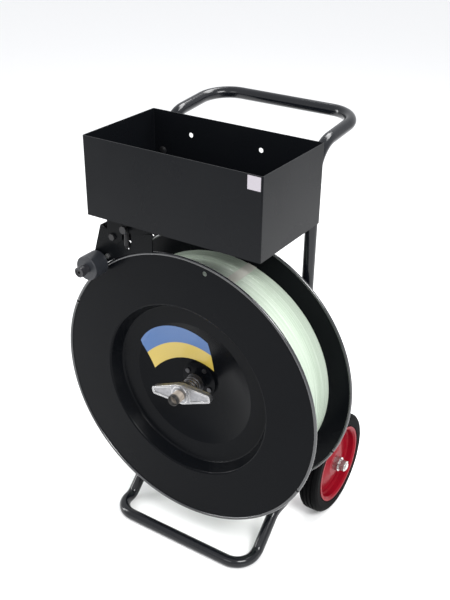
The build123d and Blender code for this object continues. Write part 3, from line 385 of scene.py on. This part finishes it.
def threaded_tube():
    """Tube with a helical thread: r = R - depth (1 - |2 frac(y / pitch - turn) - 1|), with its crest cut
    flat, on rows of turn and columns along the outside, round the end, and back through the bore."""
    outside = np.concatenate([np.linspace(front + FIRST_COLUMN, front + THREAD_LENGTH, THREAD_STEPS),
                              [front + THREAD_LENGTH + 0.002, rear - END_ROUND]])
    turn = np.arange(TURN_STEPS) / TURN_STEPS
    phase = (outside[None, :] - front) / THREAD_PITCH - turn[:, None]
    groove = np.clip((1 - np.abs(2 * (phase % 1) - 1)) * THREAD_SHARPNESS - CREST_FLAT, 0, 1)
    fade = np.clip((front + THREAD_LENGTH - outside) / THREAD_FADE, 0, 1)
    start = np.clip((outside - front - END_ROUND) / THREAD_LEAD_IN, 0, 1)
    radius = HUB_TUBE_R - TUBE_SKIN - THREAD_DEPTH * groove * fade * start - CHAMFER * (1 - start)
    ends = [(rear, HUB_TUBE_R - END_ROUND), (rear, HUB_BORE_R), (front, HUB_BORE_R),
            (front, HUB_TUBE_R - FRONT_CHAMFER)]
    along = np.concatenate([outside, [y for y, r in ends]])
    radius = np.hstack([radius, np.tile([r for y, r in ends], (TURN_STEPS, 1))])
    angle = 2 * pi * turn[:, None]
    points = np.stack([radius * np.sin(angle), np.broadcast_to(along, radius.shape),
                       REEL_AXIS_Z + radius * np.cos(angle)], -1)
    tube = grid_piece("threaded_hub_tube", points, "reel", tan_plate(), wrap=(True, True))
    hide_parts("hub_tube")


threaded_tube()
paint_nodes(bronze(), "hub_bushes", "pivot_bush")
paint_nodes(ZINC, "reel_spindle", "spindle_nut", "hub_spacer")
BLACK_OXIDE = powder_coat("black_oxide", (0.008, 0.008, 0.009), 0.36, 0.35)
paint_nodes(BLACK_OXIDE, "spindle_end_screw")


# ---------------------------------------------------------------- flanges
# Two spun steel discs with a curled rim, a stepped seat for the coil's core and a shallow bowl, in a
# black coat rubbed glossy on the rims. Behind the wing nut, a spring between two dull steel washers
# presses on the front disc's riveted hub plate.
FLANGE_BLACK = powder_coat("flange_powder_coat", (0.0022, 0.0026, 0.0034), 0.22, 0.055)
paint_nodes(FLANGE_BLACK, "front_flange", "back_flange", "front_flange_hub")
RIM_WIRE_R = 0.0032
RUBBED_DEPTH = 0.00008
RIM_STEPS = 360
RUBBED_BLACK = powder_coat("rubbed_powder_coat", (0.012, 0.013, 0.015), 0.16, 0.9)


def rubbed_rim(name, flange, y, body):
    """Ring round the reel's axis, R (sin a, 0, cos a), carried round with the curl's own radius; the
    coat there is rubbed glossy by hands and strap."""
    turn = np.linspace(0, 2 * pi, RIM_STEPS, endpoint=False)
    reach = flange[1][0] - RIM_WIRE_R
    ring = np.stack([reach * np.sin(turn), np.full(RIM_STEPS, y), REEL_AXIS_Z + reach * np.cos(turn)], 1)
    grid_piece(name, swept(ring, RIM_WIRE_R + RUBBED_DEPTH, 32, closed=True), body, RUBBED_BLACK,
               wrap=(True, True))


front_disc, back_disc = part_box("front_flange"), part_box("back_flange")
rubbed_rim("front_rim_rubbed", front_disc, front_disc[0][1] + RIM_WIRE_R, "front_flange")
rubbed_rim("back_rim_rubbed", back_disc, back_disc[1][1] - RIM_WIRE_R, "reel")

DULL_STEEL = zinc_plate("dull_steel", (0.09, 0.09, 0.095), 0.4)
paint_nodes(DULL_STEEL, "hub_rivets", "clamp_spring", "clamp_washers", "thrust_washer")


# ---------------------------------------------------------------- coil of strapping
# Pale green polyester strap wound in half inch lanes on a kraft board core. The lanes run round at the
# slope of one lane a turn and lie a fraction of a millimetre higher or lower than their neighbours.
LANE = 0.0127
LANE_STEP = 0.00045
LANE_GAP = 0.00035
LANE_EDGE = 0.0009
COIL_CLEARANCE = 0.0001
COIL_SHOULDER = 0.02
COIL_TURN_STEPS = 360
COIL_COLUMNS = 260

coil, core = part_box("strap_coil"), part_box("strap_core")
COIL_R = (coil[1][0] - coil[0][0]) / 2
CORE_R = (core[1][0] - core[0][0]) / 2


def green_strap():
    """Glossy polyester strap: streaks along the strap, as noise drawn out round the coil."""
    strap = Finish("green_strap")
    streak = strap.noise(1.0, detail=5.0, rough=0.7, stretch=(9, 1100, 9))
    broad = strap.noise(1.0, detail=2.0, stretch=(2, 160, 2))
    mixed = strap.math("ADD", strap.math("MULTIPLY", streak, 0.6), strap.math("MULTIPLY", broad, 0.4))
    share = strap.between(mixed, 0.0, 1.0, 0.33, 0.67)
    strap.shade(Base_Color=strap.blend(share, (0.35, 0.43, 0.335, 1), (0.50, 0.57, 0.485, 1)),
                Roughness=strap.between(streak, 0.2, 0.36, 0.3, 0.7), Coat_Weight=0.25, Coat_Roughness=0.12,
                Normal=strap.bump(streak, 0.25, 0.0003))
    return strap.material


def strap_winding():
    """Radius R less a step that waves along the strap, less a gap at each lane's edge. A lane is the
    whole part of y / lane + turn, so each runs on into the next. The grid goes on down both faces of
    the coil and along its core."""
    y0, y1 = coil[0][1], coil[1][1]
    across = np.linspace(y0, y1, COIL_COLUMNS)
    turn = np.arange(COIL_TURN_STEPS) / COIL_TURN_STEPS
    place = (across[None, :] - y0) / LANE + turn[:, None]
    lane = np.floor(place)
    run = turn[:, None] - lane
    height = (np.sin(2.3 * run) + np.sin(5.9 * run + 1) + np.sin(14.1 * run + 2)) / 6 + 0.5
    edge = np.minimum(place - lane, lane + 1 - place) * LANE
    dip = np.clip(1 - edge / LANE_EDGE, 0, 1) * LANE_GAP
    radius = COIL_R - COIL_CLEARANCE - LANE_STEP * (1 - height) - dip
    inner = np.full((COIL_TURN_STEPS, 1), CORE_R)
    radius = np.hstack([radius, radius[:, -1:] - COIL_SHOULDER, inner, inner, radius[:, :1] - COIL_SHOULDER])
    along = np.concatenate([across, [y1, y1, y0, y0]])
    angle = 2 * pi * turn[:, None]
    points = np.stack([radius * np.sin(angle), np.broadcast_to(along, radius.shape),
                       REEL_AXIS_Z + radius * np.cos(angle)], -1)
    winding = grid_piece("strap_winding", points, "reel", green_strap(), wrap=(True, True))
    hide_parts("strap_coil")


def plain_paper(name, colour, grain_scale):
    """Unprinted paper or board, mottled and roughened by its fibres."""
    paper = Finish(name)
    fibre = paper.noise(grain_scale, detail=5.0, rough=0.7)
    dark = tuple(0.7 * c for c in colour)
    paper.shade(Base_Color=paper.blend(fibre, (*dark, 1), (*colour, 1)), Roughness=0.72,
                Specular_IOR_Level=0.3, Normal=paper.bump(fibre, 0.2, 0.0003))
    return paper.material


strap_winding()
paint_nodes(plain_paper("kraft_board", (0.42, 0.30, 0.18), 500), "strap_core")
paint_nodes(plain_paper("paper_tape", (0.55, 0.55, 0.49), 900), "coil_tape")


# ---------------------------------------------------------------- flange label
# Printed film stuck in the front disc's bowl: a blue arch over a yellow one, with a plain edge. It
# carries no words.
LABEL_TURN = radians(13.5)
LABEL_MIDDLE = -0.033
BAND_HEIGHT = 0.0905
BAND_SAG = 0.026
BAND_HALF = 0.081
BAND_EDGE = 0.0006


def printed_label():
    """Blue above the arch z = height - sag ((x - middle) / half) squared and yellow below it, both on
    axes turned with the label."""
    film = Finish("printed_label")
    centre = film.add("Mapping", {"vector_type": "TEXTURE"}, Vector=film.place,
                      Location=(0, 0, REEL_AXIS_Z), Rotation=(0, -LABEL_TURN, 0))
    axes = film.add("SeparateXYZ", Vector=centre.outputs["Vector"])
    offset = film.math("DIVIDE", film.math("SUBTRACT", axes.outputs["X"], LABEL_MIDDLE), BAND_HALF)
    arch = film.math("MULTIPLY", film.math("MULTIPLY", offset, offset), BAND_SAG)
    height = film.math("ADD", axes.outputs["Z"], arch)
    share = film.between(height, 0.0, 1.0, BAND_HEIGHT - BAND_EDGE, BAND_HEIGHT + BAND_EDGE)
    ink = film.noise(700, detail=2.0)
    blue = film.blend(ink, (0.018, 0.075, 0.22, 1), (0.028, 0.10, 0.27, 1))
    yellow = film.blend(ink, (0.38, 0.28, 0.045, 1), (0.46, 0.34, 0.06, 1))
    film.shade(Base_Color=film.blend(share, yellow, blue), Roughness=0.34, Coat_Weight=0.4,
               Coat_Roughness=0.15, Normal=film.bump(ink, 0.03, 0.0002))
    return film.material


paint_nodes(printed_label(), "flange_label")


# ---------------------------------------------------------------- wing nut
# Sand cast aluminium, tapped to run on the hub tube, its edges worn bright and its pockets left rough
# and grey.

def cast_aluminium():
    """Cast metal: grain everywhere, polished where the normal of a bevel turns away from the face's."""
    metal = Finish("cast_aluminium")
    sand = metal.noise(1500, detail=4.0, rough=0.7)
    blotch = metal.noise(160, detail=3.0)
    soft = metal.add("Bevel", {"samples": 6}, Radius=0.0022)
    flat = metal.add("NewGeometry").outputs["Normal"]
    lean = metal.add("VectorMath", {"operation": "DOT_PRODUCT"}, s0=soft.outputs["Normal"],
                     s1=flat).outputs["Value"]
    edge = metal.between(lean, 1.0, 0.0, 0.90, 0.995)
    worn = metal.blend(blotch, (0.19, 0.19, 0.20, 1), (0.36, 0.36, 0.37, 1))
    metal.shade(Base_Color=metal.blend(edge, worn, (0.74, 0.74, 0.73, 1)), Metallic=1.0,
                Roughness=metal.between(edge, 0.46, 0.16), Normal=metal.bump(sand, 0.35, 0.0004))
    return metal.material


body_of = {node: body for body, members in frame["record"]["behaviour"]["bodies"].items()
           for node in members}
WELD_REACH = 0.00002
SHARP_CORNER = radians(32)


def rounded_copy(node, name, width, material):
    """Copy of a CAD piece with its points joined and its corners rounded by a bevel."""
    mesh = nodes[node].data.copy()
    mesh.name = name
    piece = bpy.data.objects.new(name, mesh)
    bpy.context.scene.collection.objects.link(piece)
    weld = piece.modifiers.new("join", "WELD")
    weld.merge_threshold = WELD_REACH
    round_off = piece.modifiers.new("round", "BEVEL")
    round_off.width = width
    round_off.segments = 3
    round_off.limit_method = "ANGLE"
    round_off.angle_limit = SHARP_CORNER
    round_off.harden_normals = False
    mesh.materials.clear()
    mesh.materials.append(material)
    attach(piece, body_of[node])
    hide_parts(node)


NUT_ROUND = 0.0009
rounded_copy("wing_nut", "cast_wing_nut", NUT_ROUND, cast_aluminium())


# ---------------------------------------------------------------- tool tray
# Folded from 1.5 mm sheet with a welded seam in each corner, open at the top, bolted to the uprights
# with carriage bolts. Two spare holes in the back wall. A small white sticker at the front.
SHEET_ROUND = 0.0004
TRAY_BLACK = powder_coat("tray_powder_coat", (0.0035, 0.004, 0.005), 0.28, 0.11)
rounded_copy("tool_tray", "folded_tray", SHEET_ROUND, TRAY_BLACK)
paint_nodes(BLACK_OXIDE, "tray_bolts", "pivot_bolt", "spring_anchor")
paint_nodes(ZINC, "tray_nuts", "hanger_bolts", "pivot_nut")

sticker = Finish("white_sticker")
fine = sticker.noise(800, detail=2.0)
sticker.shade(Base_Color=sticker.blend(fine, (0.31, 0.29, 0.315, 1), (0.37, 0.345, 0.375, 1)), Roughness=0.5,
              Specular_IOR_Level=0.2, Normal=sticker.bump(fine, 0.03, 0.0002))
paint_nodes(sticker.material, "tray_sticker")


# ---------------------------------------------------------------- brake
# A folded hanger under the tray carries a sheet metal arm with a rubber shoe on the rim, a guide roller
# and a turned collar. A close wound spring of oiled black wire, to the right of the pivot, pulls the
# shoe on.
ARM_BLACK = powder_coat("arm_powder_coat", (0.0022, 0.0026, 0.0032), 0.28, 0.07)
# The hanger's flap reaching down to the front rim, right of the arm, is a black sheet standing in for the
# shade under the tray, over the coil and back flange.
rounded_copy("brake_hanger", "bent_hanger", SHEET_ROUND, ARM_BLACK)
rounded_copy("brake_arm", "bent_arm", SHEET_ROUND, ARM_BLACK)
paint_nodes(RUBBER, "brake_shoe")
paint_nodes(ZINC, "shoe_screw", "roller_sleeve", "roller_washer", "roller_nut")
paint_nodes(BLACK_OXIDE, "roller_screw")

SPRING_R = 0.0042
SPRING_WIRE_R = 0.0008
SPRING_TURNS = 20
SPRING_TURN_STEPS = 28
HOOK_LENGTH = 0.009
HOOK_STEPS = 25
HOOK_RISE = 0.0004
spring_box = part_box("brake_spring")


def tension_spring():
    """Helix (R cos a, R sin a, even rise) for the body, with a hook at each end: three quarters of a
    loop, (R cos a, 0, R sin a + rise a), that stands up out of the helix."""
    x, y = ((low + high) / 2 for low, high in list(zip(*spring_box))[:2])
    bottom, top = spring_box[0][2] + HOOK_LENGTH, spring_box[1][2] - HOOK_LENGTH
    angle = np.linspace(0, 2 * pi * SPRING_TURNS, SPRING_TURNS * SPRING_TURN_STEPS)
    helix = np.stack([x + SPRING_R * np.cos(angle), y + SPRING_R * np.sin(angle),
                      np.linspace(bottom, top, len(angle))], 1)
    bend = np.linspace(0, 1.5 * pi, HOOK_STEPS + 1)[1:]
    across, out = x + SPRING_R * np.cos(bend), SPRING_WIRE_R + SPRING_R * np.sin(bend) + HOOK_RISE * bend
    level = np.full(HOOK_STEPS, y)
    low_hook = np.stack([across, level, bottom - out], 1)[::-1]
    high_hook = np.stack([across, level, top + out], 1)
    spring = grid_piece("tension_spring", swept(np.vstack([low_hook, helix, high_hook]), SPRING_WIRE_R, 8),
                        None, BLACK_OXIDE, wrap=(False, True))
    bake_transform(spring)
    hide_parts("brake_spring")


tension_spring()


# ---------------------------------------------------------------- feed roller
# Turned dark grey nylon roller that runs on a steel sleeve at the arm's lower end, held by a stepped
# collar and a black socket screw.

def grey_nylon(name, colour, rough):
    """Turned plastic: fine rings of the tool round the roller's axis."""
    nylon = Finish(name)
    ring = nylon.noise(1.0, detail=3.0, stretch=(60, 2600, 60))
    cloud = nylon.noise(80, detail=3.0)
    dark = tuple(0.72 * c for c in colour)
    nylon.shade(Base_Color=nylon.blend(cloud, (*dark, 1), (*colour, 1)),
                Roughness=nylon.between(ring, rough - 0.05, rough + 0.08), Specular_IOR_Level=0.35,
                Normal=nylon.bump(ring, 0.2, 0.0002))
    return nylon.material


paint_nodes(grey_nylon("grey_nylon", (0.017, 0.019, 0.023), 0.42), "feed_roller")
paint_nodes(grey_nylon("collar_grey", (0.020, 0.020, 0.023), 0.36), "roller_collar")
